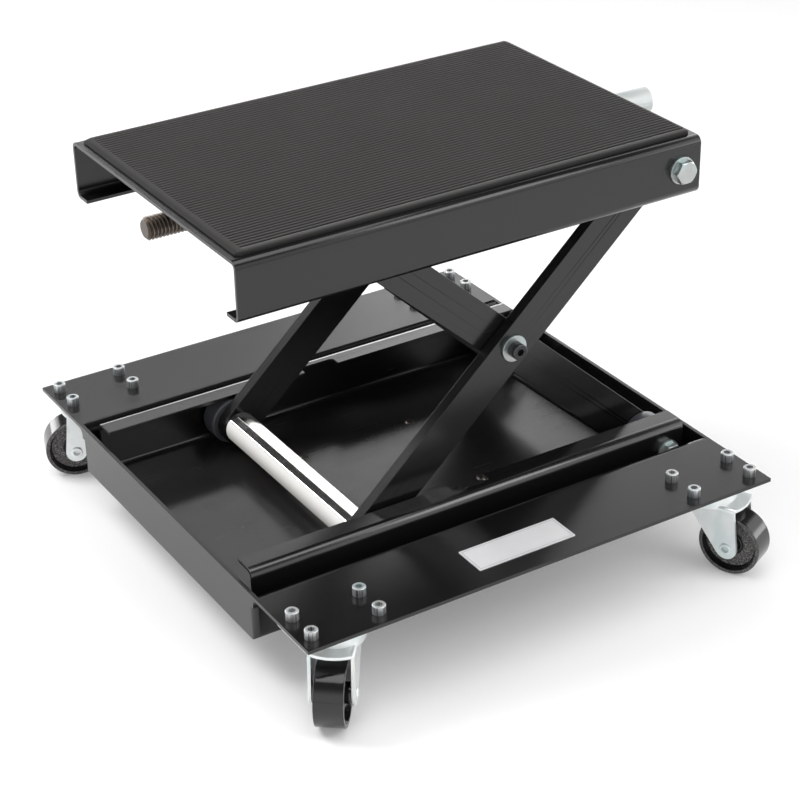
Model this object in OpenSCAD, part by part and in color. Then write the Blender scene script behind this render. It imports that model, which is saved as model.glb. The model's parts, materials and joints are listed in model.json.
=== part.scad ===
// Scissor lift jack on a castor dolly: a folded sheet dolly tray with four
// swivel castors carries a C-rail base, two pairs of flat scissor arms, and a
// channel deck with a rubber mat. One lead screw under the deck draws a
// trunnion nut along the deck and opens or closes the scissor.
// Frame: origin on the floor under the centre of the jack's overall box, +X
// towards the drive sleeve, -Y towards the front wing, +Z up. Millimetres.

/* [Dolly] */
// Overall length of the dolly frame
dolly_len = 421; // [419:1:430]
// Overall width across both wings
dolly_w = 462; // [460:1:480]
// Inner width of the tray between the wings
tray_w = 292.8; // [290:0.2:294]
// Gauge of the folded sheet
sheet = 3; // [2.5:0.1:3]
// Height of the wings' top face above the floor
wing_z = 76; // [76:0.5:80]

/* [Castors] */
// Castor centre from the dolly centre, along X
castor_x = 171.9; // [165:0.1:172]
// Castor centre from the dolly centre, along Y
castor_y = 203.5; // [203:0.1:206]
// Screw spacing of a castor plate along X
castor_sx = 56; // [54:0.5:58]
// Screw spacing of a castor plate along Y
castor_sy = 27.6; // [27.6:0.1:28]
// Wheel diameter
wheel_d = 51.6; // [46:0.2:52]
// Wheel tread width
wheel_w = 22.5; // [20:0.5:24]
// Trail from the swivel axis to the axle
castor_trail = 23.5; // [18:0.5:25]
// Swivel direction of each castor at rest, front left, front right, rear left, rear right
castor_turn = [231, 296, 162, 205]; // [0:1:360]

/* [Jack] */
// Length of the deck
deck_len = 403; // [400:1:410]
// Width of the deck and of the base channel
chan_w = 267; // [266:0.5:268]
// Height of the base channel and of the deck channel
chan_h = 47; // [47:0.5:50]
// Height of the deck's top face above the base channel's underside
deck_rise = 296; // [110:1:340]
// Pivot to pivot length of a scissor arm
arm_len = 370; // [370:1:372]
// Width of the flat bar of an arm
arm_w = 32; // [28:0.5:32]
// Thickness of the flat bar of an arm
arm_t = 10; // [8:0.5:10]
// Thickness of the deck's rubber mat
mat_t = 3; // [2:0.5:6]
// Diameter of the lead screw
screw_d = 18; // [16:1:18]

/* [Hidden] */
$fn = 64;
gap = 0.05;                         // running clearance on radius
overall_centre = [15.5, -11, 0];    // centre of the overall box from the dolly's centre

// tray
half_len = dolly_len / 2;
tray_half = tray_w / 2;
tray_out = tray_half + sheet;       // outer half width of the tray
base_z = wing_z - 37.4;             // underside of the base channel
tray_z = base_z - sheet;            // underside of the tray floor
tray_h = wing_z - tray_z;

// base and deck channels
chan_half = chan_w / 2;
chan_in = chan_half - sheet;        // inner half width
base_x0 = -202;
base_x1 = 200;
base_top = base_z + chan_h;
base_lip = 112;                     // inner edge of the base lips
deck_x1 = 203.2;
deck_x0 = deck_x1 - deck_len;
deck_top = base_z + deck_rise;
deck_bot = deck_top - chan_h;
deck_lip = 115.7;                   // inner edge of the deck lips

// pivots, as [x, z]
fixed_x = 184.5;                    // both fixed pivots
low_z = base_z + chan_h / 2;
high_z = deck_top - chan_h / 2;
arm_angle = asin((high_z - low_z) / arm_len);
slide_x = fixed_x - arm_len * cos(arm_angle);
low_fixed = [fixed_x, low_z];
high_fixed = [fixed_x, high_z];
low_slide = [slide_x, low_z];
high_slide = [slide_x, high_z];
mid_pivot = (low_fixed + high_slide) / 2;

// arm faces, as distances from the middle plane: near and far face
outer_far = 108;
outer_near = outer_far - arm_t;
inner_far = outer_near - 1;
inner_near = inner_far - arm_t;

// shafts and their running bores
axle_r = 8;
axle_bore = axle_r + gap;
axle_end = chan_half - 3.7;
bolt_r = 5;                         // bolts of the fixed pivots
bolt_bore = bolt_r + gap;
screw_r = screw_d / 2;
screw_bore = screw_r + gap;

BLACK = [0.07, 0.07, 0.075];
ZINC = [0.78, 0.8, 0.82];
GREY = [0.5, 0.51, 0.52];
DARK = [0.2, 0.18, 0.16];
LABEL = [0.75, 0.75, 0.77];
TYRE = [0.09, 0.09, 0.09];
BRIGHT = [0.85, 0.86, 0.88];
BLACK_STEEL = [0.16, 0.16, 0.17];
RUBBER = [0.2, 0.2, 0.2];

// ---------- helpers ----------

module both_x() {
  children();
  mirror([1, 0, 0]) children();
}
module both_y() {
  children();
  mirror([0, 1, 0]) children();
}
module at_corners(dx, dy) for (x = [-dx, dx], y = [-dy, dy]) translate([x, y, 0]) children();

// a profile drawn in (Y, Z), run along X from x0 to x1
module along_x(x0, x1) translate([x0, 0, 0]) rotate([90, 0, 90])
  linear_extrude(x1 - x0) children();

// shapes along Y from y0 to y1, centred on pos = [x, z]
module cone_y(pos, y0, y1, r0, r1) translate([pos[0], y0, pos[1]]) rotate([-90, 0, 0])
  cylinder(r1 = r0, r2 = r1, h = y1 - y0);
module cyl_y(pos, y0, y1, r) translate([pos[0], y0, pos[1]]) rotate([-90, 0, 0])
  cylinder(r = r, h = y1 - y0);
module ring_y(pos, y0, y1, r, bore) difference() {
  cyl_y(pos, y0, y1, r);
  cyl_y(pos, y0 - 1, y1 + 1, bore);
}
// cylinder along Y reaching half to either side of the middle plane
module span_y(pos, half, r) cyl_y(pos, -half, half, r);

// corner radius of a hexagon from its width across flats
function hex_r(flats) = flats / sqrt(3);
module hex_y(pos, y0, y1, flats) translate([pos[0], y0, pos[1]]) rotate([-90, 0, 0])
  cylinder(r = hex_r(flats), h = y1 - y0, $fn = 6);
module nut_y(pos, y0, y1, flats, bore) difference() {
  hex_y(pos, y0, y1, flats);
  cyl_y(pos, y0 - 1, y1 + 1, bore);
}
// hexagonal bolt head, its outer face chamfered
module head_y(pos, y0, y1, flats) {
  chamfer = 1.3;
  r = flats * 0.6;
  intersection() {
    hex_y(pos, y0, y1, flats);
    union() {
      cyl_y(pos, y0, y1 - chamfer, r);
      cone_y(pos, y1 - chamfer, y1, r, r - 1.9);
    }
  }
}

// shapes on the lead screw's axis from x0 to x1
module cyl_x(x0, x1, r) translate([x0, 0, high_z]) rotate([0, 90, 0])
  cylinder(r = r, h = x1 - x0);
module ring_x(x0, x1, r, bore) difference() {
  cyl_x(x0, x1, r);
  cyl_x(x0 - 1, x1 + 1, bore);
}

// quarter ring of bent sheet in the first quadrant
module bend2d(outer_r) intersection() {
  difference() {
    circle(r = outer_r);
    circle(r = outer_r - sheet);
  }
  square(outer_r + 1);
}
// cutter that rounds an upright corner pointing to +X +Y, from the centre of its radius
module corner_cutter(r, h) difference() {
  cube([r + 1, r + 1, h]);
  translate([0, 0, -1]) cylinder(r = r, h = h + 2);
}

// ---------- dolly ----------

fold_r = 5;                         // outer radius of the tray floor's bends
wing_r = 8;                         // outer radius of the wing bends
corner_r = 5;                       // outer radius of the tray's upright corners
plate_screw_hole = 3.3;
rivet_x = 53;
rivet_y = 56;
rivet_r = 2.5;
rivet_head_r = 4.5;
rivet_head_h = 1.2;
label_size = [87, 29.5, 0.6];
label_x = -10.5;                    // centre of the label
label_y = -198.75;
label_r = 0.8;

module at_rivets() at_corners(rivet_x, rivet_y) children();
module rivet_holes(z) at_rivets() translate([0, 0, z - 1]) cylinder(r = rivet_r + gap, h = 10);
module at_castors() at_corners(castor_x, castor_y) children();
module at_plate_screws() at_corners(castor_sx / 2, castor_sy / 2) children();

// half of the tray's section: floor, upright wall and wing
module half_tray() {
  square([tray_out - fold_r, sheet]);
  translate([tray_out - fold_r, fold_r]) mirror([0, 1]) bend2d(fold_r);
  translate([tray_half, fold_r]) square([sheet, tray_h - fold_r - wing_r]);
  translate([tray_half + wing_r, tray_h - wing_r]) mirror([1, 0]) bend2d(wing_r);
  translate([tray_half + wing_r, tray_h - sheet])
    square([dolly_w / 2 - tray_half - wing_r, sheet]);
}
// end panel: lower corners rounded like the tray, upper corners filled out to the wing bends
module end_panel2d() {
  difference() {
    translate([-tray_out, 0]) square([2 * tray_out, tray_h]);
    both_x() difference() {
      translate([tray_out - fold_r, -fold_r]) square(2 * fold_r);
      translate([tray_out - fold_r, fold_r]) circle(r = fold_r);
    }
  }
  both_x() difference() {
    translate([tray_half - 1, tray_h - wing_r]) square([wing_r + 1, wing_r]);
    translate([tray_half + wing_r, tray_h - wing_r]) circle(r = wing_r - 1);
  }
}
module dolly_frame() color(BLACK) difference() {
  translate([0, 0, tray_z]) {
    along_x(-half_len, half_len) both_x() half_tray();
    for (x = [-half_len, half_len - sheet]) along_x(x, x + sheet) end_panel2d();
  }
  both_x() both_y() translate([half_len - corner_r, tray_out - corner_r, tray_z - 1])
    corner_cutter(corner_r, tray_h - wing_r - 2);
  at_castors() at_plate_screws() translate([0, 0, wing_z - 10])
    cylinder(r = plate_screw_hole, h = 20);
  rivet_holes(tray_z);
}
module label_plate() color(LABEL) translate([label_x, label_y, wing_z]) difference() {
  translate([-label_size[0] / 2, -label_size[1] / 2, 0]) cube(label_size);
  both_x() both_y() translate([label_size[0] / 2 - label_r, label_size[1] / 2 - label_r, -1])
    corner_cutter(label_r, 3);
}
// rivets that hold the base channel to the tray floor
module base_rivets() color(DARK) at_rivets() {
  translate([0, 0, tray_z - rivet_head_h]) cylinder(r = rivet_head_r, h = rivet_head_h);
  translate([0, 0, tray_z]) cylinder(r = rivet_r, h = 2 * sheet);
  translate([0, 0, base_z + sheet]) cylinder(r1 = rivet_head_r, r2 = 3.2, h = rivet_head_h);
}

// ---------- channels ----------

notch_x = -0.5;                     // centre of the clearance notches in the lips
notch_len = 33;
notch_r = 3;
base_notch = 10;                    // depth of a notch from the lip's edge
deck_notch = 6.5;
base_bend_r = 7;                    // outer radius of the channel bends
deck_bend_r = 6;
pivot_hole = 5.3;
mat_inset_x = 5;
mat_inset_y = 8;

// channel section with inward lips in (Y, Z), floor at the bottom
module channel2d(lip, bend_r) both_x() {
  square([chan_half - bend_r, sheet]);
  translate([chan_half - bend_r, bend_r]) mirror([0, 1]) bend2d(bend_r);
  translate([chan_in, bend_r]) square([sheet, chan_h - 2 * bend_r]);
  translate([chan_half - bend_r, chan_h - bend_r]) bend2d(bend_r);
  translate([lip, chan_h - sheet]) square([chan_half - bend_r - lip, sheet]);
}
// cutter for a notch with rounded inner corners in each lip, lip underside at z
module lip_notches(lip, depth, z) both_y() translate([notch_x, 0, z - 1])
  linear_extrude(sheet + 2) {
    translate([-notch_len / 2 + notch_r, lip - 5]) square([notch_len - 2 * notch_r, depth + 5]);
    translate([-notch_len / 2, lip - 5]) square([notch_len, depth + 5 - notch_r]);
    both_x() translate([notch_len / 2 - notch_r, lip + depth - notch_r]) circle(r = notch_r);
  }
module pivot_holes(pos) both_y() cyl_y(pos, chan_half - 10, chan_half + 5, pivot_hole);

module base_channel() color(BLACK) difference() {
  translate([0, 0, base_z]) along_x(base_x0, base_x1) channel2d(base_lip, base_bend_r);
  lip_notches(base_lip, base_notch, base_top - sheet);
  pivot_holes(low_fixed);
  rivet_holes(base_z);
}
module deck_channel() color(BLACK) difference() {
  translate([0, 0, deck_top]) mirror([0, 0, 1])
    along_x(deck_x0, deck_x1) channel2d(deck_lip, deck_bend_r);
  lip_notches(deck_lip, deck_notch, deck_bot);
  pivot_holes(high_fixed);
}
module rubber_mat() color(RUBBER)
  translate([deck_x0 + mat_inset_x, -(chan_half - mat_inset_y), deck_top])
    cube([deck_len - 2 * mat_inset_x, chan_w - 2 * mat_inset_y, mat_t]);

// ---------- castors ----------

plate_len = 74;                     // castor plate
plate_w = 46;
plate_t = 3;
plate_r = 3;
plate_z = wing_z - sheet - plate_t; // underside of a castor plate
crown_z = plate_z - 10;             // underside of a fork's crown
plate_screw_r = 3;
plate_screw_len = 9.8;
cap_r = 5.1;                        // cap screw head
cap_h = 7.2;
cap_chamfer = 0.5;
plate_nut_h = 3.2;
kingpin_r = 5;
kingpin_hole = kingpin_r + gap;
ball_count = 10;
wheel_r = wheel_d / 2;
axle_pos = [castor_trail, wheel_r]; // wheel axle, seen from the swivel axis

fork_t = 2.5;                       // gauge of a fork
fork_half = 17.1;                   // outer half width of a fork
fork_back = 15;                     // reach of the crown behind the swivel axis
fork_front = castor_trail + 5;      // reach of the crown past the axle
crown_bow = 4.5;                    // bow of the crown's front edge
crown_top = crown_z + fork_t;
leg_r = 9;                          // round end of a leg
fold_out = 3;                       // radii of the folds between crown and legs
fold_in = 1.5;
race_r = 22;                        // ball race ring
race_h = 6.5;
wheel_axle_r = 4;
wheel_axle_half = fork_half + 0.1;
rolled_r = 4.9;                     // rolled heads of the axle
rolled_h = 0.5;

// signs along X and Y: front left, front right, rear left, rear right
CASTOR_SIDES = [[-1, -1], [1, -1], [-1, 1], [1, 1]];
module castor_at(k)
  translate([CASTOR_SIDES[k][0] * castor_x, CASTOR_SIDES[k][1] * castor_y, 0])
    rotate([0, 0, castor_turn[k]]) children();

module castor_plates() color(ZINC) at_castors() difference() {
  translate([0, 0, plate_z]) {
    translate([-plate_len / 2, plate_r - plate_w / 2, 0])
      cube([plate_len, plate_w - 2 * plate_r, plate_t]);
    translate([plate_r - plate_len / 2, -plate_w / 2, 0])
      cube([plate_len - 2 * plate_r, plate_w, plate_t]);
    at_corners(plate_len / 2 - plate_r, plate_w / 2 - plate_r) cylinder(r = plate_r, h = plate_t);
  }
  translate([0, 0, wing_z - 20]) {
    at_plate_screws() cylinder(r = plate_screw_hole, h = 20);
    cylinder(r = kingpin_hole, h = 20);
  }
}
// socket cap screws, heads on the wings
module castor_screws() color(ZINC) at_castors() at_plate_screws()
  translate([0, 0, wing_z]) difference() {
    union() {
      cylinder(r = cap_r, h = cap_h - cap_chamfer);
      translate([0, 0, cap_h - cap_chamfer])
        cylinder(r1 = cap_r, r2 = cap_r - cap_chamfer, h = cap_chamfer);
      translate([0, 0, -plate_screw_len]) cylinder(r = plate_screw_r, h = plate_screw_len);
    }
    translate([0, 0, cap_h * 0.45]) cylinder(r = hex_r(5), h = cap_h, $fn = 6);
  }
module castor_nuts() color(ZINC) at_castors() at_plate_screws()
  translate([0, 0, plate_z - plate_nut_h]) difference() {
    cylinder(r = hex_r(10), h = plate_nut_h, $fn = 6);
    translate([0, 0, -1]) cylinder(r = plate_screw_r + gap, h = 9);
  }
module castor_kingpins() color(ZINC) at_castors() {
  translate([0, 0, crown_z - 3.4]) cylinder(r = 8, h = 3.2);
  translate([0, 0, crown_z - 0.2]) cylinder(r = kingpin_r, h = 13);
}
module castor_balls() color(ZINC) at_castors() for (i = [0:ball_count - 1])
  rotate([0, 0, 360 / ball_count * i]) translate([15.4, 0, crown_z + 6.25]) sphere(r = 3.7);

// where the tangent from a point touches a circle, on the side given by the sign
function tangent_point(from, centre, r, side) =
  let (
    v = centre - from,
    dist = norm(v),
    angle = atan2(v[1], v[0]) + side * asin(r / dist)
  )
  from + sqrt(dist * dist - r * r) * [cos(angle), sin(angle)];

// fork leg outline: a wide top that tapers to a round end at the axle
module leg2d() {
  back = [-fork_back, crown_top];
  front = [fork_front, crown_top];
  difference() {
    union() {
      polygon([
        back, front,
        tangent_point(front, axle_pos, leg_r, 1),
        axle_pos,
        tangent_point(back, axle_pos, leg_r, -1)
      ]);
      translate(axle_pos) circle(r = leg_r);
    }
    translate(axle_pos) circle(r = wheel_axle_r + gap);
  }
}
// crown outline: bearing disc, cheeks and a bowed front edge
module crown2d() {
  bow_r = (fork_half * fork_half + crown_bow * crown_bow) / (2 * crown_bow);
  circle(r = race_r);
  translate([-fork_back, -fork_half]) square([fork_front + fork_back, 2 * fork_half]);
  intersection() {
    translate([fork_front + crown_bow - bow_r, 0]) circle(r = bow_r);
    translate([0, -fork_half]) square([fork_front + 10, 2 * fork_half]);
  }
}
// legs, crown and the inner fillets of the two folds, outer edges still square
module square_fork() {
  for (y = [fork_t - fork_half, fork_half])
    translate([0, y, 0]) rotate([90, 0, 0]) linear_extrude(fork_t) leg2d();
  translate([0, 0, crown_z]) linear_extrude(fork_t) crown2d();
  both_y() translate([-fork_back, fork_half - fork_t - fold_in, crown_z - fold_in])
    difference() {
      cube([fork_back + fork_front, fold_in, fold_in]);
      translate([-1, 0, 0]) rotate([0, 90, 0]) cylinder(r = fold_in, h = 90);
    }
}
// section in (Y, Z) that rounds the folds outside, with a thin slab as wide as the disc
module fold_envelope2d() {
  translate([-fork_half, 0]) square([2 * fork_half, crown_top - fold_out]);
  translate([fold_out - fork_half, 0]) square([2 * (fork_half - fold_out), crown_top]);
  both_x() translate([fork_half - fold_out, crown_top - fold_out]) circle(r = fold_out);
  translate([-race_r, crown_z]) square([2 * race_r, 0.1]);
}
// pressed fork with the ball race ring on top
module castor_fork(k) color(ZINC) castor_at(k) difference() {
  union() {
    intersection() {
      square_fork();
      along_x(-30, 60) fold_envelope2d();
    }
    translate([0, 0, crown_z]) cylinder(r = race_r, h = fork_t);
    translate([0, 0, crown_top]) difference() {
      cylinder(r = race_r, h = race_h);
      translate([0, 0, -1]) cylinder(r = race_r - 2.5, h = 9);
    }
  }
  translate([0, 0, crown_z - 1]) cylinder(r = kingpin_hole, h = 5);
}
// rivet axle with hollow ends and low rolled heads
module castor_axle(k) color(ZINC) castor_at(k) difference() {
  union() {
    rolled_y = wheel_axle_half + rolled_h;
    span_y(axle_pos, wheel_axle_half, wheel_axle_r);
    both_y() {
      cyl_y(axle_pos, wheel_axle_half, rolled_y, rolled_r);
      cone_y(axle_pos, rolled_y, rolled_y + 0.6, rolled_r, 4.1);
    }
  }
  both_y() cyl_y(axle_pos, fork_half - 2, fork_half + 3, 2.9);
}
module castor_wheel(k) {
  tread = wheel_w / 2;
  hub = fork_half - 2.7;            // half length of the hub
  bore = wheel_axle_r + 1.2 * gap;
  // one side of the section, bore to tread: [radius, distance along the axle]
  side = [
    [bore, -hub], [7.5, -hub], [8, -(hub - 0.5)],
    [8.6, -(tread - 5)], [wheel_r - 6, -(tread - 5)], [wheel_r - 4.4, -(tread - 3.6)],
    [wheel_r - 3, -tread], [wheel_r - 0.6, -tread], [wheel_r, -tread + 0.6]
  ];
  other_side = [for (i = [len(side) - 1:-1:0]) [side[i][0], -side[i][1]]];
  color(TYRE) castor_at(k) translate([castor_trail, 0, wheel_r]) rotate([90, 0, 0])
    rotate_extrude($fn = 96) polygon(concat(side, other_side));
}

// ---------- fixed pivots ----------

washer_t = 2;
head_y0 = chan_half + washer_t;     // underside of a pivot bolt's head
head_h = 6.4;
washer_hole = 5.2;
spacer_end = chan_in - 0.1;
side_gap = 0.3;                     // side clearance beside an arm

module pivot_bolts(pos, y0, flats) both_y() {
  cyl_y(pos, y0, head_y0, bolt_r);
  head_y(pos, head_y0, head_y0 + head_h, flats);
}
module pivot_washers(pos, r) both_y() ring_y(pos, chan_half, head_y0, r, washer_hole);

module base_pivot_bolts() color(ZINC) pivot_bolts(low_fixed, inner_near - 10, 16);
module base_pivot_washers() color(ZINC) pivot_washers(low_fixed, 10.2);
module base_pivot_spacers() color(GREY) both_y() difference() {
  union() {
    cyl_y(low_fixed, inner_far + side_gap, outer_far + 1, 19.5);
    cyl_y(low_fixed, outer_far + 1, spacer_end, 12);
  }
  cyl_y(low_fixed, inner_far - 5, chan_half + 5, bolt_bore);
}
module base_pivot_nuts() color(ZINC) both_y()
  nut_y(low_fixed, inner_near - 8.3, inner_near - side_gap, 16, bolt_bore);

module deck_pivot_bolts() color(ZINC) pivot_bolts(high_fixed, outer_near - 27, 17);
module deck_pivot_washers() color(ZINC) pivot_washers(high_fixed, 11);
module deck_pivot_spacers() color(GREY) both_y()
  ring_y(high_fixed, outer_far + side_gap, spacer_end, 15, bolt_bore);

// ---------- arms ----------

cross_plate_start = 34;             // from the lower fixed pivot, along the arm
cross_plate_len = 124;
cross_plate_t = 4;
cross_plate_r = 3;

// flat bar with round ends, pivots at 0 and arm_len, bores at start, middle and end
module bar2d(start_r, mid_r, end_r) difference() {
  union() {
    translate([0, -arm_w / 2]) square([arm_len, arm_w]);
    for (x = [0, arm_len]) translate([x, 0]) circle(r = arm_w / 2);
  }
  circle(r = start_r);
  translate([arm_len / 2, 0]) circle(r = mid_r);
  translate([arm_len, 0]) circle(r = end_r);
}
// upright plane at y whose local X runs from a lower pivot at an angle to +X
module arm_plane(pos, angle, y) translate([pos[0], y, pos[1]])
  rotate([0, -angle, 0]) rotate([90, 0, 0]) children();
// from the lower fixed pivot up to -X
module inner_plane(y) arm_plane(low_fixed, 180 - arm_angle, y) children();
module inner_bar(y) inner_plane(y) linear_extrude(arm_t) bar2d(bolt_bore, axle_bore, axle_bore);
// from the lower sliding end up to +X
module outer_bar(y) arm_plane(low_slide, arm_angle, y)
  linear_extrude(arm_t) bar2d(axle_bore, axle_bore, bolt_bore);

module inner_arm_front() color(BLACK) inner_bar(-inner_near);
module inner_arm_rear() color(BLACK) inner_bar(inner_far);
module outer_arm_front() color(BLACK) outer_bar(-outer_near);
module outer_arm_rear() color(BLACK) outer_bar(outer_far);
// plate under the two inner arms, below the centre pivot, front and rear edges rounded over
module inner_cross_plate() color(BLACK) inner_plane(0)
  translate([cross_plate_start, 0, 0]) rotate([90, 0, 90])
    linear_extrude(cross_plate_len) translate([arm_w / 2, 0]) difference() {
      translate([0, -inner_far]) square([cross_plate_t, 2 * inner_far]);
      both_y() translate([cross_plate_t - cross_plate_r, inner_far - cross_plate_r])
        difference() {
          square(cross_plate_r + 1);
          circle(r = cross_plate_r);
        }
    }

// ---------- centre pivot ----------

mid_screw_r = 4;
mid_cap_r = 6.5;
mid_washer_r = 11;
mid_washer_hole = 4.3;
mid_nut_y = inner_near - 1.8;       // outer face of the nut, against its washer

module centre_pivot_screws() color(BLACK_STEEL) both_y() difference() {
  union() {
    cyl_y(mid_pivot, inner_near - 9.5, outer_far + washer_t, mid_screw_r);
    cyl_y(mid_pivot, outer_far + washer_t, outer_far + 9.6, mid_cap_r);
    cone_y(mid_pivot, outer_far + 9.6, outer_far + 10, mid_cap_r, mid_cap_r - 0.5);
  }
  hex_y(mid_pivot, outer_far + 5.5, outer_far + 12, 6);
}
module centre_pivot_washers() color(ZINC) both_y()
  ring_y(mid_pivot, outer_far, outer_far + washer_t, mid_washer_r, mid_washer_hole);
module centre_pivot_bushes() color(ZINC) both_y()
  ring_y(mid_pivot, inner_near, outer_far, axle_r, mid_screw_r + gap);
// nuts, each with its washer
module centre_pivot_nuts() color(ZINC) both_y() {
  ring_y(mid_pivot, mid_nut_y, inner_near - 0.2, mid_washer_r, mid_washer_hole);
  nut_y(mid_pivot, mid_nut_y - 6.5, mid_nut_y, 13, mid_screw_r + gap);
}

// ---------- sliding ends ----------

tube_r = 13.5;
tube_half = outer_near - 0.1;
roller_r = (chan_h - 2 * sheet) / 2 - 0.5;
roller_w = 18;
roller_chamfer = 1;
rear_roller_y = outer_far + 1;
front_roller_y = -(rear_roller_y + roller_w);

module axle_clips(pos) both_y() ring_y(pos, axle_end - 2.5, axle_end - 1, 11, axle_bore);
// nylon roller with a chamfered tread, along Y from y0
module roller(pos, y0) {
  y1 = y0 + roller_w;
  small_r = roller_r - roller_chamfer;
  difference() {
    union() {
      cone_y(pos, y0, y0 + roller_chamfer, small_r, roller_r);
      cyl_y(pos, y0 + roller_chamfer, y1 - roller_chamfer, roller_r);
      cone_y(pos, y1 - roller_chamfer, y1, roller_r, small_r);
    }
    cyl_y(pos, y0 - 1, y1 + 1, axle_bore);
  }
}

module spacer_tube() color(BRIGHT) ring_y(low_slide, -tube_half, tube_half, tube_r, axle_bore);
module lower_axle() color(ZINC) span_y(low_slide, axle_end, axle_r);
module lower_axle_clips() color(ZINC) axle_clips(low_slide);
module base_roller_front() color(GREY) roller(low_slide, front_roller_y);
module base_roller_rear() color(GREY) roller(low_slide, rear_roller_y);

module trunnion_nut() color(DARK) difference() {
  union() {
    span_y(high_slide, inner_near - 1, 16);
    span_y(high_slide, axle_end, axle_r);
  }
  cyl_x(slide_x - 20, slide_x + 20, screw_bore);
}
module trunnion_spacers() color(ZINC) both_y()
  ring_y(high_slide, inner_far + side_gap, outer_far + 0.7, 12, axle_bore);
module trunnion_clips() color(ZINC) axle_clips(high_slide);
module deck_roller_front() color(GREY) roller(high_slide, front_roller_y);
module deck_roller_rear() color(GREY) roller(high_slide, rear_roller_y);

// ---------- screw ----------

screw_x0 = -203.7;
screw_x1 = 244;
screw_tip = 1.2;                    // length of the tapered tip
block_flat = 13.5;                  // flats of the thrust block from its axis
sleeve_x0 = fixed_x + 22.4;
sleeve_x1 = 252.8;
pin_pos = [212.5, high_z];          // cross pin of the drive sleeve
pin_r = 2.5;

module pin_hole() span_y(pin_pos, 15, pin_r + gap);

// round bar between the deck pivots, with flats towards -X and +X
module thrust_block() color(DARK) difference() {
  span_y(high_fixed, outer_near - 0.2, 16);
  cyl_x(fixed_x - 20, fixed_x + 20, screw_bore);
  for (side = [-1, 1]) translate([fixed_x + side * (block_flat + 10), 0, high_z])
    cube([20, 40, 40], center = true);
  both_y() cyl_y(high_fixed, outer_near - 30, outer_near + 5, bolt_bore);
}
module lead_screw() color(DARK) difference() {
  union() {
    cyl_x(screw_x0, screw_x1, screw_r);
    translate([screw_x0 - screw_tip, 0, high_z]) rotate([0, 90, 0])
      cylinder(r1 = screw_r - 2, r2 = screw_r - 0.8, h = screw_tip);
  }
  pin_hole();
}
module stop_collar() color(ZINC) ring_x(fixed_x - 22, fixed_x - 14, 14, screw_bore);
// bearing with a groove around its middle
module thrust_bearing() color(ZINC) difference() {
  ring_x(fixed_x + 13.8, fixed_x + 22, 15, screw_bore);
  ring_x(fixed_x + 16.6, fixed_x + 19.2, 16, 13.6);
}
module drive_sleeve() color(ZINC) difference() {
  ring_x(sleeve_x0, sleeve_x1, 11.5, screw_bore);
  pin_hole();
}
module sleeve_pin() color(ZINC) span_y(pin_pos, 11.2, pin_r);

// ---------- output ----------

// moves the dolly's centre so that the overall box is centred on the origin
module put() translate(-overall_centre) children();

put() dolly_frame();
put() label_plate();
put() base_channel();
put() base_rivets();
put() castor_plates();
put() castor_screws();
put() castor_nuts();
put() castor_kingpins();
put() castor_balls();
put() base_pivot_bolts();
put() base_pivot_washers();
put() base_pivot_spacers();
put() base_pivot_nuts();
put() inner_arm_front();
put() inner_arm_rear();
put() inner_cross_plate();
put() outer_arm_front();
put() outer_arm_rear();
put() spacer_tube();
put() lower_axle();
put() lower_axle_clips();
put() centre_pivot_screws();
put() centre_pivot_washers();
put() centre_pivot_bushes();
put() centre_pivot_nuts();
put() base_roller_front();
put() base_roller_rear();
put() trunnion_nut();
put() trunnion_spacers();
put() trunnion_clips();
put() deck_roller_front();
put() deck_roller_rear();
put() deck_channel();
put() rubber_mat();
put() thrust_block();
put() deck_pivot_bolts();
put() deck_pivot_washers();
put() deck_pivot_spacers();
put() lead_screw();
put() stop_collar();
put() thrust_bearing();
put() drive_sleeve();
put() sleeve_pin();
put() castor_fork(0);  // castor_fork_front_left
put() castor_fork(1);  // castor_fork_front_right
put() castor_fork(2);  // castor_fork_rear_left
put() castor_fork(3);  // castor_fork_rear_right
put() castor_axle(0);  // castor_axle_front_left
put() castor_axle(1);  // castor_axle_front_right
put() castor_axle(2);  // castor_axle_rear_left
put() castor_axle(3);  // castor_axle_rear_right
put() castor_wheel(0);  // castor_wheel_front_left
put() castor_wheel(1);  // castor_wheel_front_right
put() castor_wheel(2);  // castor_wheel_rear_left
put() castor_wheel(3);  // castor_wheel_rear_right
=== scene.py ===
"""Screw-driven scissor lift table on a dolly with four castors.

Metres, +Z up, the floor at z = 0. The lead screw and the ribs of the deck's rubber mat run
along X. The CAD pieces get finishes and small edge breaks. The mat, the lead screw and the
castor wheels are replaced by detailed meshes.
"""
import math
import json

import bmesh
import bpy
import numpy as np
from mathutils import Matrix, Vector


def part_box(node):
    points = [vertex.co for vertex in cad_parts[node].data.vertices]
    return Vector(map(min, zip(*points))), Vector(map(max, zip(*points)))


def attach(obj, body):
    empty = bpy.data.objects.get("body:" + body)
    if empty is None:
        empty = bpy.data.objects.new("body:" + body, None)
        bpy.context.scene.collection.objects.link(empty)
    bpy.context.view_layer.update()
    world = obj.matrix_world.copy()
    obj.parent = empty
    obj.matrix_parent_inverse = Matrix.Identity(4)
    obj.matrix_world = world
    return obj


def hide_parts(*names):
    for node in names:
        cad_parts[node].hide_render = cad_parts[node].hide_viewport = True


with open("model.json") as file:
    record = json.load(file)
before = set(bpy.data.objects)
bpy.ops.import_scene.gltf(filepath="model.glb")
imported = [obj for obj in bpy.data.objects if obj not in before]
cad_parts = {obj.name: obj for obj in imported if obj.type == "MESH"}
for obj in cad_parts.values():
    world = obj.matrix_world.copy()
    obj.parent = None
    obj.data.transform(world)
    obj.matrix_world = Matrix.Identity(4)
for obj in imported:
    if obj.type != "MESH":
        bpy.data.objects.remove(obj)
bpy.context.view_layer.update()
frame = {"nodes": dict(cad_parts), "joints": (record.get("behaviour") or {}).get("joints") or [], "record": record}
MM = 0.001


# ---------------------------------------------------------------- shader helpers

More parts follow.
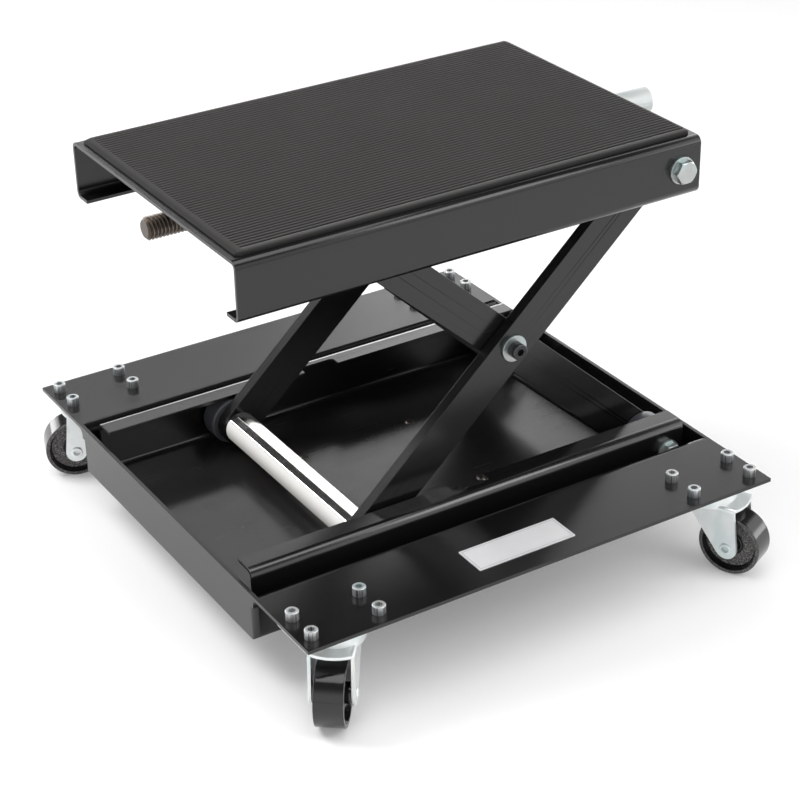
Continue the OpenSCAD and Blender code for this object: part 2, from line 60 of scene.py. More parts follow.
def srgb(code):
    """Linear colour of an sRGB hex string."""
    parts = [int(code[i:i + 2], 16) / 255 for i in (0, 2, 4)]
    return tuple(p / 12.92 if p <= 0.04045 else ((p + 0.055) / 1.055) ** 2.4 for p in parts)


def colour(value):
    """A socket as it is, or the RGBA of a hex string or a linear RGB triple."""
    if isinstance(value, bpy.types.NodeSocket):
        return value
    return (*(srgb(value) if isinstance(value, str) else value), 1.0)


class Shader:
    """Makes and links the nodes of a material or a world."""

    def __init__(self, owner, output="ShaderNodeOutputMaterial", coords="Object"):
        self.owner = owner
        owner.use_nodes = True
        self.tree = owner.node_tree
        self.tree.nodes.clear()
        self.out = self.tree.nodes.new(output)
        self.pos = self.node("ShaderNodeTexCoord").outputs[coords]

    def node(self, kind, *values, props=None, **inputs):
        """New node. Values fill its sockets in order, inputs fill them by name."""
        node = self.tree.nodes.new(kind)
        for key, value in (props or {}).items():
            setattr(node, key, value)
        for i, value in enumerate(values):
            self.put(node.inputs[i], value)
        for key, value in inputs.items():
            self.put(node.inputs[key.replace("_", " ")], value)
        return node

    def put(self, socket, value):
        if isinstance(value, bpy.types.NodeSocket):
            self.tree.links.new(value, socket)
        else:
            socket.default_value = value

    def math(self, operation, *values):
        return self.node("ShaderNodeMath", *values, props={"operation": operation}).outputs[0]

    def unary(self, operation, value):
        return self.math(operation, value, 0.0)

    def add(self, a, b):
        return self.math("ADD", a, b)

    def sub(self, a, b):
        return self.math("SUBTRACT", a, b)

    def mul(self, a, b):
        return self.math("MULTIPLY", a, b)

    def vary(self, value, by, base):
        """value * by + base"""
        return self.math("MULTIPLY_ADD", value, by, base)

    def ramp(self, value, off, on, low=0.0, high=1.0, smooth=True):
        """Goes from low, where the value is off, to high, where it is on."""
        kind = "SMOOTHSTEP" if smooth else "LINEAR"
        return self.node("ShaderNodeMapRange", value, off, on, low, high,
                         props={"interpolation_type": kind}).outputs[0]

    def mix(self, share, a, b):
        node = self.node("ShaderNodeMix", share, props={"data_type": "RGBA"})
        self.put(node.inputs[6], colour(a))
        self.put(node.inputs[7], colour(b))
        return node.outputs[2]

    def mix_vector(self, share, a, b):
        node = self.node("ShaderNodeMix", share, props={"data_type": "VECTOR"})
        self.put(node.inputs[4], a)
        self.put(node.inputs[5], b)
        return node.outputs[1]

    def tint(self, base, mask, paint, by):
        """Lays paint over base where the mask is 1, at the strength by."""
        return self.mix(self.mul(mask, by), base, paint)

    def noise(self, scale, detail, rough, src=None, distortion=0.0):
        return self.node("ShaderNodeTexNoise", Vector=src or self.pos, Scale=scale, Detail=detail,
                         Roughness=rough, Distortion=distortion).outputs["Fac"]

    def streaks(self, scales, detail, rough, turn=0.0):
        """Noise with its own scale on each axis, turned about Z."""
        src = self.node("ShaderNodeMapping", Vector=self.pos, Rotation=(0, 0, turn), Scale=scales)
        return self.noise(1.0, detail, rough, src=src.outputs[0])

    def cells(self, scale):
        return self.node("ShaderNodeTexVoronoi", Vector=self.pos, Scale=scale).outputs["Distance"]

    def xyz(self, src=None):
        return self.node("ShaderNodeSeparateXYZ", src or self.pos).outputs[:3]

    def normal(self):
        return self.node("ShaderNodeNewGeometry").outputs["Normal"]

    def bump(self, height, depth, under=None):
        node = self.node("ShaderNodeBump", Height=height, Distance=depth)
        if under is not None:
            self.put(node.inputs["Normal"], under)
        return node.outputs[0]

    def edge(self, radius):
        """1 close to a sharp edge, 0 on the flats."""
        rounded = self.node("ShaderNodeBevel", props={"samples": 4}, Radius=radius).outputs[0]
        facing = self.node("ShaderNodeVectorMath", rounded, self.normal(),
                           props={"operation": "DOT_PRODUCT"}).outputs["Value"]
        return self.ramp(facing, off=0.992, on=0.93)

    def surface(self, **inputs):
        """Ends the material with a principled surface and returns the material."""
        node = self.node("ShaderNodeBsdfPrincipled", **inputs)
        self.tree.links.new(node.outputs[0], self.out.inputs["Surface"])
        return self.owner


def new_shader(name):
    return Shader(bpy.data.materials.new(name))


# ---------------------------------------------------------------- materials
# Lengths in metres. Noise scales are features per metre.

def black_steel(name="black_steel", pan=None):
    """Gloss black powder coat: fine orange peel, clouding, hairline rubs and specks of dust.
    With pan, the height of a tray's floor, the coat is lighter and duller just above it, in patches."""
    t = new_shader(name)
    peel = t.noise(scale=560, detail=3, rough=0.55)
    fine = t.noise(scale=2600, detail=2, rough=0.5)
    cloud = t.noise(scale=11, detail=4, rough=0.6)
    smear = t.streaks((22, 80, 80), detail=3, rough=0.6)
    hair = t.ramp(t.streaks((14, 1300, 300), detail=2, rough=0.5, turn=0.12), off=0.74, on=0.80)
    dust = t.ramp(t.noise(scale=1700, detail=2, rough=0.5), off=0.74, on=0.80)
    col = t.mix(cloud, "0e0e0e", "151414")
    col = t.tint(col, dust, "7a7875", by=0.10)
    rough = t.vary(cloud, by=0.05, base=0.16)
    rough = t.vary(smear, by=0.06, base=rough)
    rough = t.vary(hair, by=0.08, base=rough)
    waves = t.bump(t.noise(scale=5.0, detail=1, rough=0.4), depth=0.0006)   # uneven sheet
    if pan is not None:
        low = t.ramp(t.xyz()[2], off=pan + 0.0030, on=pan + 0.0004)
        patchy = t.noise(scale=34, detail=5, rough=0.65)
        # lighter and duller just above the tray's floor, in patches
        col = t.tint(col, low, "2b2a29", by=t.vary(patchy, by=0.4, base=0.4))
        rough = t.vary(low, by=t.vary(patchy, by=0.06, base=0.01), base=rough)
    bumps = t.bump(peel, depth=0.000016, under=waves)
    bumps = t.bump(fine, depth=0.000004, under=bumps)
    return t.surface(Base_Color=col, Roughness=rough, IOR=1.52 if pan is None else 1.72,
                     Normal=bumps)


def zinc(name="zinc", dark="dce0e1", light="f1f3f3", base_rough=0.28, metal=0.66, knurl=False):
    """Bright zinc plate: faint warm and teal tints, cloudy roughness, tiny pits.
    knurl adds the fine upright grooves of a cap screw's head, with painted shade in them."""
    t = new_shader(name)
    cloud = t.noise(scale=55, detail=4, rough=0.6)
    stain = t.noise(scale=24, detail=3, rough=0.5, distortion=0.6)
    pits = t.ramp(t.cells(scale=900), off=0.10, on=0.02)
    grain = t.noise(scale=1500, detail=3, rough=0.6)
    col = t.mix(cloud, dark, light)
    col = t.tint(col, t.ramp(stain, off=0.54, on=0.70), "d2cdb8", by=0.25)
    col = t.tint(col, t.ramp(stain, off=0.47, on=0.34), "b4cccb", by=0.40)
    rough = t.vary(cloud, by=0.14, base=base_rough)
    rough = t.vary(pits, by=0.15, base=rough)
    bumps = t.bump(grain, depth=0.000008)
    bumps = t.bump(pits, depth=-0.00003, under=bumps)
    if knurl:
        side = t.ramp(t.unary("ABSOLUTE", t.xyz(t.normal())[2]), off=0.5, on=0.2)
        grooves = t.streaks((1100, 1100, 25), detail=1, rough=0.4)
        # painted shade: the knurl's grooves on the head's side are darkened
        col = t.tint(col, t.ramp(grooves, off=0.52, on=0.38), "4b4e50", by=t.mul(side, 0.75))
        bumps = t.bump(t.mul(grooves, side), depth=0.00035, under=bumps)
    return t.surface(Base_Color=col, Metallic=metal, Roughness=rough, Normal=bumps)


# Flats of shine round the chrome tube: where the blend into each starts and ends, in degrees
# from +X towards +Z, whether it is smooth, and the way the flat faces.
FIRST_FLAT = (-0.752, 0.078, 0.654)
NEXT_FLATS = (
    (105.0, 110.0, True, (-0.368, 0.003, 0.930)),
    (128.0, 140.0, True, (-0.772, -0.309, 0.556)),
    (140.0, 200.0, False, (-0.697, -0.345, 0.629)),
)


def chrome():
    """Ground and plated tube along Y: mirror bright, fine turned lines, a few smudges. Broad
    flats of shine round it make the reflections sit in bands, and painted shade darkens its lower side."""
    t = new_shader("chrome")
    normal = t.normal()
    nx, ny, nz = t.xyz(normal)
    angle = t.math("ARCTAN2", nz, nx)
    deg = t.mul(angle, 57.29578)                         # radians to degrees
    # the quarter below -90 degrees carries on past 180
    deg = t.vary(t.math("LESS_THAN", angle, -1.5708), by=360.0, base=deg)
    flats = FIRST_FLAT
    for start, end, smooth, facing in NEXT_FLATS:
        flats = t.mix_vector(t.ramp(deg, off=start, on=end, smooth=smooth), flats, facing)
    # the flats count on the tube's side only, and only as the camera sees it
    share = t.mul(t.ramp(deg, off=38.0, on=43.0),
                  t.ramp(deg, off=223.0, on=228.0, low=1.0, high=0.0))
    share = t.mul(share, t.ramp(t.unary("ABSOLUTE", ny), off=0.6, on=0.3))
    share = t.mul(share, t.node("ShaderNodeLightPath").outputs["Is Camera Ray"])
    normal = t.mix_vector(share, normal, flats)
    lines = t.streaks((40, 5200, 40), detail=2, rough=0.5)
    smudge = t.noise(scale=60, detail=4, rough=0.65)
    spots = t.ramp(t.noise(scale=420, detail=3, rough=0.6), off=0.68, on=0.76)
    col = t.mix(smudge, "e2e1df", "f4f3f0")
    col = t.tint(col, spots, "a9a19a", by=0.2)
    # painted shade: the tube's lower side is darker, for camera rays only
    col = t.tint(col, t.ramp(deg, off=142.0, on=200.0), "bdbbb6", by=share)
    rough = t.vary(t.ramp(smudge, off=0.4, on=0.7), by=0.07, base=0.09)
    rough = t.vary(spots, by=0.10, base=rough)
    return t.surface(Base_Color=col, Metallic=1.0, Roughness=rough,
                     Normal=t.bump(lines, depth=0.000003, under=normal))


def nylon():
    """Grey moulded nylon: soft sheen, fine sink marks and a light bloom on the edges."""
    t = new_shader("nylon")
    mottle = t.noise(scale=160, detail=4, rough=0.6)
    grain = t.noise(scale=2400, detail=3, rough=0.6)
    col = t.mix(mottle, "414448", "505358")
    col = t.tint(col, t.edge(radius=0.0008), "70706f", by=0.35)
    bumps = t.bump(grain, depth=0.00001)
    return t.surface(Base_Color=col, Roughness=t.vary(mottle, by=0.18, base=0.38), IOR=1.53,
                     Normal=t.bump(mottle, depth=0.00005, under=bumps), Subsurface_Weight=0.05)


def rubber():
    """Matt black-grey rubber with painted shade in the grooves, dust and fine moulding grain."""
    t = new_shader("rubber")
    mottle = t.noise(scale=18, detail=5, rough=0.6)
    grain = t.noise(scale=2800, detail=4, rough=0.65)
    along = t.streaks((9, 420, 420), detail=3, rough=0.6)
    dust = t.ramp(t.noise(scale=1500, detail=2, rough=0.5), off=0.68, on=0.78)
    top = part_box("rubber_mat")[1].z
    # painted shade: the grooves below the ribs' tops are darkened
    groove_shade = t.ramp(t.xyz()[2], off=top - 0.0002, on=top - 0.0010)
    col = t.mix(mottle, "242322", "2d2c2b")
    col = t.tint(col, along, "3a3837", by=0.30)
    col = t.tint(col, groove_shade, "121211", by=0.85)
    col = t.tint(col, dust, "85827d", by=0.25)
    return t.surface(Base_Color=col, Roughness=t.vary(mottle, by=0.14, base=0.56), IOR=1.28,
                     Normal=t.bump(grain, depth=0.00003))


def screw_steel():
    """Oiled brown-black rolled steel, lighter on the thread crests, with painted shade in the thread roots."""
    t = new_shader("screw_steel")
    _, y, z = t.xyz()
    lo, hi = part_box("lead_screw")
    dy = t.sub(y, (lo.y + hi.y) / 2)
    dz = t.sub(z, (lo.z + hi.z) / 2)
    radius = t.unary("SQRT", t.add(t.mul(dy, dy), t.mul(dz, dz)))
    crest = t.ramp(radius, off=0.00855, on=0.00895)
    mottle = t.noise(scale=260, detail=4, rough=0.65)
    streak = t.streaks((60, 900, 900), detail=3, rough=0.6)
    col = t.mix(mottle, "3a312b", "51453c")
    # painted shade: the crests are lighter, leaving the thread roots dark
    col = t.tint(col, crest, "8f857c", by=t.vary(streak, by=0.5, base=0.35))
    return t.surface(Base_Color=col, Metallic=0.9, Roughness=t.vary(mottle, by=0.22, base=0.24),
                     Normal=t.bump(mottle, depth=0.00004), Coat_Weight=0.25, Coat_Roughness=0.2)


def dark_steel():
    """Turned steel blocks under a thin oil film: dark grey-brown with fine tool marks."""
    t = new_shader("dark_steel")
    tool = t.streaks((200, 3000, 200), detail=2, rough=0.5)
    mottle = t.noise(scale=120, detail=5, rough=0.65)
    col = t.mix(mottle, "4a4642", "645f5a")
    col = t.tint(col, t.edge(radius=0.0009), "a8a49e", by=0.5)
    return t.surface(Base_Color=col, Metallic=0.95, Roughness=t.vary(mottle, by=0.25, base=0.25),
                     Normal=t.bump(tool, depth=0.00001))


def bright_steel():
    """Dull pale zinc on turned steel: fine lathe lines and cloudy bloom."""
    t = new_shader("bright_steel")
    lathe = t.streaks((3600, 60, 60), detail=2, rough=0.5)
    mottle = t.noise(scale=90, detail=5, rough=0.65)
    spots = t.ramp(t.noise(scale=700, detail=3, rough=0.6), off=0.62, on=0.74)
    col = t.mix(mottle, "b9bbba", "d6d7d4")
    col = t.tint(col, spots, "8f8c86", by=0.28)
    col = t.tint(col, t.edge(radius=0.0009), "f0f0ee", by=0.35)
    return t.surface(Base_Color=col, Metallic=0.92, Roughness=t.vary(mottle, by=0.18, base=0.34),
                     Normal=t.bump(lathe, depth=0.000012))


def black_oxide():
    """Black oxide fasteners: satin near-black with bare metal showing on the arrises."""
    t = new_shader("black_oxide")
    mottle = t.noise(scale=320, detail=4, rough=0.6)
    col = t.mix(mottle, "302f30", "454446")
    col = t.tint(col, t.edge(radius=0.0006), "8b8987", by=0.5)
    return t.surface(Base_Color=col, Metallic=0.75, Roughness=t.vary(mottle, by=0.2, base=0.28),
                     Normal=t.bump(mottle, depth=0.00003))


def wheel_black():
    """Gloss black enamel over a cast wheel: smooth scuffed tread, painted sparkle specks on the thin rim and
    a coarse grey casting in the disc with painted glints. The mesh's disc attribute tells them apart."""
    t = new_shader("cast_wheel")
    disc = t.node("ShaderNodeAttribute", props={"attribute_name": "disc",
                                                "attribute_type": "GEOMETRY"}).outputs["Fac"]
    tread = t.sub(1.0, disc)
    peel = t.noise(scale=420, detail=4, rough=0.6)
    cast = t.noise(scale=1100, detail=6, rough=0.75)
    lumps = t.noise(scale=430, detail=3, rough=0.6)
    specks = t.ramp(t.noise(scale=1500, detail=3, rough=0.6), off=0.60, on=0.68)
    patchy = t.ramp(t.streaks((600, 90, 600), detail=4, rough=0.7), off=0.60, on=0.76)
    painted_glint = t.ramp(t.noise(scale=680, detail=4, rough=0.75), off=0.49, on=0.61)
    col = t.mix(peel, "111111", "1b1a1a")
    # the disc's grey tone, brighter in spots that are painted glints
    col = t.tint(col, t.vary(painted_glint, by=0.75, base=0.25), "a19f9d", by=disc)
    col = t.tint(col, t.mul(patchy, tread), "6a6763", by=0.15)
    # painted sparkle: bright specks on the disc and, fainter, on the rim
    col = t.tint(col, t.mul(specks, disc), "b5b2ac", by=0.55)
    rough = t.vary(peel, by=0.08, base=0.08)
    rough = t.vary(t.mul(patchy, tread), by=0.22, base=rough)
    rough = t.vary(disc, by=0.10, base=rough)
    bumps = t.bump(t.mul(lumps, disc), depth=0.0022)
    bumps = t.bump(t.mul(cast, disc), depth=0.0014, under=bumps)
    bumps = t.bump(peel, depth=0.00002, under=bumps)
    return t.surface(Base_Color=col, Roughness=rough, IOR=1.50, Normal=bumps,
                     Coat_Weight=0.15, Coat_Roughness=0.06, Coat_Normal=bumps)


def label_face():
    """Blank pale data plate: satin foil face, printed border line, light scratches."""
    t = new_shader("label")
    lo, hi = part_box("label_plate")
    x, y, _ = t.xyz()
    from_mid_x = t.unary("ABSOLUTE", t.sub(x, (lo.x + hi.x) / 2))
    from_mid_y = t.unary("ABSOLUTE", t.sub(y, (lo.y + hi.y) / 2))
    from_edge = t.math("MINIMUM", t.sub((hi.x - lo.x) / 2, from_mid_x),
                       t.sub((hi.y - lo.y) / 2, from_mid_y))
    line = t.mul(t.ramp(from_edge, off=0.0013, on=0.0016),
                 t.ramp(from_edge, off=0.0022, on=0.0019))
    mottle = t.noise(scale=60, detail=4, rough=0.6)
    scratch = t.ramp(t.streaks((60, 2600, 60), detail=3, rough=0.6, turn=0.35),
                     off=0.66, on=0.74)
    grain = t.noise(scale=2600, detail=3, rough=0.6)
    col = t.mix(mottle, "d8d8da", "e4e4e5")
    col = t.tint(col, line, "77777a", by=0.55)
    col = t.tint(col, scratch, "8f8f90", by=0.3)
    return t.surface(Base_Color=col, Metallic=0.15, Roughness=t.vary(mottle, by=0.15, base=0.32),
                     Normal=t.bump(grain, depth=0.000008))


# finish of each material slot
MATS = {
    "black_steel": black_steel(), "zinc": zinc(), "chrome": chrome(), "nylon": nylon(),
    "screw_steel": dark_steel(), "bright_steel": bright_steel(), "black_oxide": black_oxide(),
    "label": label_face(), "rubber_mat": rubber(), "cast_wheel": wheel_black(),
}
THREAD = screw_steel()
# CAD nodes whose finish differs from their slot's
SPECIAL = {
    "castor_screws": zinc("zinc_screws", dark="b2b5b7", light="cfd2d3", base_rough=0.34,
                          metal=0.8, knurl=True),
    "drive_sleeve": zinc("zinc_dull", dark="b4b8b8", light="c6caca", base_rough=0.46, metal=0.5),
}
SPECIAL.update(dict.fromkeys(
    ("deck_pivot_bolts", "base_pivot_bolts", "deck_pivot_washers", "base_pivot_washers",
     "centre_pivot_washers"),
    zinc("zinc_bolts", dark="a4a6a6", light="bcbebd", base_rough=0.26, metal=0.9)))
SPECIAL["base_channel"] = black_steel("black_steel_pan", pan=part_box("base_channel")[0].z + 0.0030)


# ---------------------------------------------------------------- CAD nodes

# width of the edge break, in mm, and the nodes that have it
EDGE_BREAKS = {
    0.12: "label_plate",
    0.15: "castor_screws centre_pivot_screws lower_axle_clips trunnion_clips",
    0.2: "sleeve_pin base_rivets",
    0.25: "base_pivot_washers deck_pivot_washers centre_pivot_washers",
    0.3: "castor_nuts base_pivot_bolts deck_pivot_bolts base_pivot_nuts centre_pivot_nuts "
         "thrust_bearing",
    0.35: "dolly_frame base_channel deck_channel",
    0.4: "inner_cross_plate inner_arm_front inner_arm_rear outer_arm_front outer_arm_rear "
         "castor_plates trunnion_spacers lower_axle",
    0.5: "base_pivot_spacers deck_pivot_spacers stop_collar drive_sleeve",
    0.6: "spacer_tube trunnion_nut thrust_block",
}
EDGE_WIDTH = {name: width for width, names in EDGE_BREAKS.items() for name in names.split()}
FAMILY_WIDTH = {"castor_fork": 0.35, "castor_axle": 0.2}    # by the start of the node's name


def edge_width(name):
    """Width of a node's edge break in mm, or None."""
    for start, width in FAMILY_WIDTH.items():
        if name.startswith(start):
            return width
    return EDGE_WIDTH.get(name)


def soften(obj, width):
    """Joins the vertices split along sharp edges, then breaks those edges with a small round."""
    weld = obj.modifiers.new("join", "WELD")
    weld.merge_threshold = 0.000002
    bevel = obj.modifiers.new("edge", "BEVEL")
    bevel.width = width * MM
    bevel.segments = 2
    bevel.limit_method = "ANGLE"
    bevel.angle_limit = math.radians(32)
    bevel.use_clamp_overlap = True
    bevel.harden_normals = False
    bevel.miter_outer = "MITER_ARC"


def finish_cad_nodes():
    slot_of = {s["node"]: s["material_slot"] for s in frame["record"]["subparts"]}
    for name, obj in frame["nodes"].items():
        key = slot_of.get(name)
        if key not in MATS:
            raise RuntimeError(f"no finish for node {name} (slot {key})")
        material = SPECIAL.get(name, MATS[key])
        if not obj.material_slots:
            obj.data.materials.append(material)
        for slot in obj.material_slots:
            slot.material = material
        width = edge_width(name)
        if width:
            soften(obj, width)


# ---------------------------------------------------------------- mesh helpers

def add_object(name, mesh, material, sharp_deg):
    """Smooth-shaded object, with creases where faces meet at more than sharp_deg."""
    mesh.materials.append(material)
    mesh.shade_smooth()
    mesh.set_sharp_from_angle(angle=math.radians(sharp_deg))
    obj = bpy.data.objects.new(name, mesh)
    bpy.context.scene.collection.objects.link(obj)
    return obj


def add_piece(name, verts, faces, slot, sharp_deg):
    mesh = bpy.data.meshes.new(name)
    mesh.from_pydata(verts, [], faces)
    mesh.validate()
    return add_object(name, mesh, MATS[slot], sharp_deg)


def face_outward(obj):
    """Makes every face of a closed mesh point out."""
    bm = bmesh.new()
    bm.from_mesh(obj.data)
    bmesh.ops.recalc_face_normals(bm, faces=bm.faces)
    bm.to_mesh(obj.data)
    bm.free()


def axes_matrix(x_axis, y_axis, z_axis, origin):
    matrix = Matrix((x_axis, y_axis, z_axis)).transposed().to_4x4()
    matrix.translation = origin
    return matrix


# ---------------------------------------------------------------- ribbed rubber mat
# One closed sheet: ribs along X, plain strips along both long edges and at the low-x end.

RIB_PITCH = 4.15 * MM
GROOVE_DEPTH = 1.25 * MM
PLAIN_BORDER = 5.2 * MM            # least width of the strips along the long edges
TAPER_LENGTH = 7.0 * MM            # thinning strip at the low-x end
TAPER_DROP = 1.35 * MM
CORNER_RADIUS = 3.6 * MM
CORNER_REACH = 12 * MM             # the corners' cut fades out over this length
LIP = 1.0 * MM                     # width of the rounding at both ends
# rounded long edge: distance in from the edge, drop below the top, both in mm
LONG_EDGE = ((0.0, 1.7), (0.25, 1.15), (0.7, 0.6), (1.3, 0.2), (2.0, 0.03), (2.8, 0.0), (3.8, 0.0))
# one groove and rib: share of the pitch, share of the groove's depth
RIB = ((0.00, 0.25), (0.05, 0.85), (0.09, 1.0), (0.31, 1.0), (0.35, 0.85),
       (0.40, 0.25), (0.47, 0.03), (0.60, 0.0), (0.80, 0.0), (0.93, 0.03))
LAST_GROOVE = RIB[:6]
# distances in from the low-x end and from the high-x end, mm
LOW_END = np.array([0.0, 0.12, 0.45, 1.0, 2.4, 4.2, 6.0, 6.8, 7.2, 7.6]) * MM
HIGH_END = np.array([1.8, 1.0, 0.45, 0.12, 0.0]) * MM


def mat_section(lo, hi):
    """Stations across the mat: y, drop below the top, and whether each is part of the ribs."""
    width = hi.y - lo.y
    count = int((width - 2 * PLAIN_BORDER) / RIB_PITCH)
    start = lo.y + (width - count * RIB_PITCH) / 2
    stations = [(lo.y + inset * MM, drop * MM) for inset, drop in LONG_EDGE]
    stations.append((start - 0.9 * MM, 0.0))
    for i in range(count):
        y = start + i * RIB_PITCH
        stations += [(y + f * RIB_PITCH, drop * GROOVE_DEPTH) for f, drop in RIB]
    y = start + count * RIB_PITCH
    stations += [(y + f * RIB_PITCH * 0.8, drop * GROOVE_DEPTH) for f, drop in LAST_GROOVE]
    for inset, drop in reversed(LONG_EDGE):
        if hi.y - inset * MM > stations[-1][0] + 0.1 * MM:
            stations.append((hi.y - inset * MM, drop * MM))
    ys, drops = np.array(stations).T
    ribbed = (ys > start - 0.01 * MM) & (ys < start + (count + 0.35) * RIB_PITCH)
    return ys, drops, ribbed


def mat_drop(from_low, from_high, drops, ribbed):
    """Drop below the top across the mat, at these distances from its two ends."""
    ribs = min(1.0, max(0.0, (from_low - 6.8 * MM) / (0.8 * MM)))    # the ribs run out
    drop = np.where(ribbed, drops * ribs, drops)
    if from_low < TAPER_LENGTH:
        drop = drop + TAPER_DROP * (1 - from_low / TAPER_LENGTH) ** 1.3
    if from_low < LIP:
        drop = drop + 0.5 * MM * (1 - from_low / LIP) ** 2
    if from_high < LIP:
        drop = np.maximum(drop, 0.9 * MM * (1 - from_high / LIP) ** 2)
    return drop


def ribbed_mat():
    lo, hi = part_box("rubber_mat")
    ys, drops, ribbed = mat_section(lo, hi)
    length = hi.x - lo.x
    middle = np.linspace(LOW_END[-1] + 6 * MM, length - HIGH_END[0] - 6 * MM, 34)
    stations = np.concatenate([LOW_END, middle, length - HIGH_END])
    # how far the rounded corners cut in at each y
    inset = np.minimum(ys - lo.y, hi.y - ys)
    arc = np.sqrt(np.maximum(CORNER_RADIUS ** 2 - (CORNER_RADIUS - inset) ** 2, 0))
    cut = np.where(inset < CORNER_RADIUS, CORNER_RADIUS - arc, 0.0)
    max_drop = (hi.z - lo.z) - 0.6 * MM
    nx, ny = len(stations), len(ys)
    top_verts, bottom_verts = [], []
    for x in stations:
        share = max(0.0, 1 - min(x, length - x) / CORNER_REACH)
        row_x = lo.x + x + (1 if x < length / 2 else -1) * cut * share
        drop = mat_drop(x, length - x, drops, ribbed)
        # slight waves keep the sheet from lying dead flat
        wave = 0.05 * MM * math.sin(x * 61.0 + 0.7) + 0.03 * MM * math.sin(x * 173.0)
        row_z = (hi.z - np.minimum(drop, max_drop) - 0.07 * MM
                 + wave * (0.5 + 0.5 * np.sin(ys * 47.0)))
        top_verts += [(row_x[j], ys[j], min(row_z[j], hi.z)) for j in range(ny)]
        bottom_verts += [(row_x[j], ys[j], lo.z) for j in range(ny)]

    def top(i, j):
        return i * ny + j

    def bot(i, j):
        return nx * ny + i * ny + j

    faces = []
    for i in range(nx - 1):
        for j in range(ny - 1):
            faces.append((top(i, j), top(i + 1, j), top(i + 1, j + 1), top(i, j + 1)))
            faces.append((bot(i, j), bot(i, j + 1), bot(i + 1, j + 1), bot(i + 1, j)))
    j = ny - 1
    for i in range(nx - 1):
        faces.append((top(i, 0), bot(i, 0), bot(i + 1, 0), top(i + 1, 0)))
        faces.append((top(i, j), top(i + 1, j), bot(i + 1, j), bot(i, j)))
    i = nx - 1
    for j in range(ny - 1):
        faces.append((top(0, j), top(0, j + 1), bot(0, j + 1), bot(0, j)))
        faces.append((top(i, j), bot(i, j), bot(i, j + 1), top(i, j + 1)))
    obj = add_piece("ribbed_rubber_mat", top_verts + bottom_verts, faces, "rubber_mat",
                    sharp_deg=28)
    face_outward(obj)
    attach(obj, "deck")
    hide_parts("rubber_mat")


# ---------------------------------------------------------------- lead screw

THREAD_PITCH = 3.0 * MM
THREAD_DEPTH = 1.35 * MM
THREAD_SEGMENTS = 40
# height over one pitch, as a share of the thread's depth
THREAD_PROFILE = (1, 1, 1, 0.72, 0.36, 0.06, 0.0, 0.06, 0.36, 0.72)


def cut_and_cap(bm, x, side):
    """Cuts away all that lies beyond x on that side and closes the end."""
    bmesh.ops.bisect_plane(bm, geom=bm.verts[:] + bm.edges[:] + bm.faces[:],
                           plane_co=(x, 0, 0), plane_no=(side, 0, 0), clear_outer=True, dist=1e-7)
    rim = [e for e in bm.edges
           if e.is_boundary and all(abs(v.co.x - x) < 1e-6 for v in e.verts)]
    bmesh.ops.edgeloop_fill(bm, edges=rim)


def threaded_screw():
    """Lead screw with a helical thread, plain from just before the stop collar to its end."""
    lo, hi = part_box("lead_screw")
    cy, cz = (lo.y + hi.y) / 2, (lo.z + hi.z) / 2
    crest = (hi.y - lo.y) / 2 - 0.02 * MM
    root = crest - THREAD_DEPTH
    plain_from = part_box("stop_collar")[0].x - 1.5 * MM
    seg, steps = THREAD_SEGMENTS, len(THREAD_PROFILE)
    rows = int((hi.x - lo.x) / THREAD_PITCH * steps) + 3 * steps
    verts, faces = [], []
    for i in range(rows):
        for s in range(seg):
            x = lo.x - 1.2 * THREAD_PITCH + (i / steps + s / seg) * THREAD_PITCH
            height = THREAD_PROFILE[i % steps]
            if x > plain_from:
                height = max(height, min(1.0, (x - plain_from) / (2.5 * MM)))
            # chamfered at both ends
            radius = min(root + (crest - root) * height,
                         crest - 2.2 * MM + max(0.0, x - lo.x) * 1.05,
                         crest - 1.0 * MM + max(0.0, hi.x - x))
            angle = 2 * math.pi * s / seg
            verts.append((x, cy + radius * math.cos(angle), cz + radius * math.sin(angle)))

    def at(i, s):
        """Vertex index. A full turn on is one pitch further along."""
        return (i + steps) * seg if s == seg else i * seg + s

    for i in range(rows - 1):
        for s in range(seg):
            if s < seg - 1 or i + 1 + steps < rows:
                faces.append((at(i, s), at(i + 1, s), at(i + 1, s + 1), at(i, s + 1)))
    mesh = bpy.data.meshes.new("threaded_lead_screw")
    mesh.from_pydata(verts, [], faces)
    bm = bmesh.new()
    bm.from_mesh(mesh)
    cut_and_cap(bm, lo.x, -1)
    cut_and_cap(bm, hi.x, 1)
    bmesh.ops.remove_doubles(bm, verts=bm.verts[:], dist=1e-6)
    loose = [v for v in bm.verts if not v.link_faces]
    bmesh.ops.delete(bm, geom=loose, context="VERTS")
    bmesh.ops.recalc_face_normals(bm, faces=bm.faces)
    bm.to_mesh(mesh)
    bm.free()
    obj = add_object("threaded_lead_screw", mesh, THREAD, sharp_deg=40)
    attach(obj, "screw")
    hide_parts("lead_screw")


# ---------------------------------------------------------------- castor wheels, in mm

WHEEL_SEGMENTS = 120
HALF_WIDTH = 11.25                 # of the tread
HUB_HALF_LENGTH = 14.4
HUB_RADIUS = 8.0
BORE_RADIUS = 4.06
DISC_STEPS = 12
CAST_JITTER = 0.36                 # full range of the disc's unevenness along the axle


def arc(cr, cy, radius, start, end, steps):
    """Points of an arc about (cr, cy), angles in degrees."""
    angles = [math.radians(start + (end - start) * k / steps) for k in range(steps + 1)]
    return [(cr + radius * math.cos(a), cy + radius * math.sin(a)) for a in angles]


